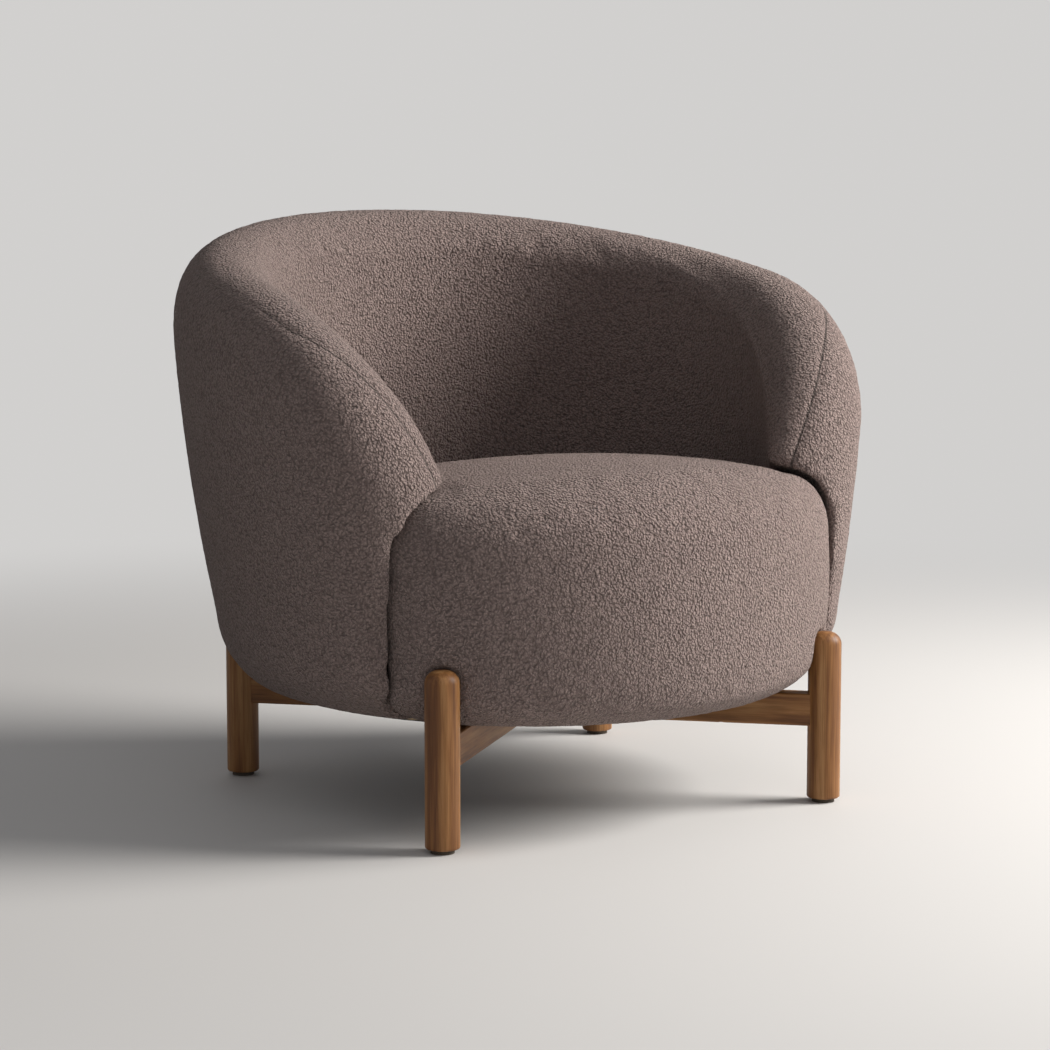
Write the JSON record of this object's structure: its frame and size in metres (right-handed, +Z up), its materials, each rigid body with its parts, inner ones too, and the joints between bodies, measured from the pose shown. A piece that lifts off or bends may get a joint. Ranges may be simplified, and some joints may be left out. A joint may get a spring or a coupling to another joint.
{
  "type": "tub chair",
  "caption": "Round tub armchair: a leaning wrap-around back that slopes down into the arms, a thick pillow seat with a bowed front, on a crossed wooden base with dowel legs.",
  "frame": {"origin": "on the floor under the middle of the chair's outline", "axes": "+Z up, the open front faces -Y, +X is the sitter's left"},
  "size_m": [0.8642, 0.803, 0.722],
  "materials": {
    "oak": "clear matt oiled oak",
    "plywood": "raw plywood",
    "fibreboard": "raw hardboard",
    "zinc_steel": "zinc plated",
    "elastic_webbing": "woven elastic band",
    "boucle": "looped boucle, taupe",
    "foam": "soft polyurethane foam",
    "felt_glide": "pressed felt",
    "black_lining": "thin non-woven lining"
  },
  "bodies": {
    "root": {"leg_front_left": "oak", "leg_front_right": "oak", "leg_back_left": "oak", "leg_back_right": "oak", "leg_glides": "felt_glide", "cross_rail_upper": "oak", "cross_rail_lower": "oak", "frame_bolts": "zinc_steel", "frame_nuts": "zinc_steel", "dust_cover": "black_lining", "base_hoop": "plywood", "seat_hoop": "plywood", "front_panel": "fibreboard", "front_post_left": "plywood", "front_post_middle": "plywood", "front_post_right": "plywood", "webbing_lengthwise": "elastic_webbing", "webbing_crosswise": "elastic_webbing", "arm_post_left": "plywood", "rib_side_left": "plywood", "rib_back_left": "plywood", "rib_back_middle": "plywood", "rib_back_right": "plywood", "rib_side_right": "plywood", "arm_post_right": "plywood", "top_rail": "plywood", "outer_liner": "fibreboard", "inner_liner": "fibreboard", "outer_cover": "boucle", "inner_cover": "boucle", "tub_foam": "foam", "seat_cover": "boucle", "seat_foam": "foam"}
  },
  "joints": []
}
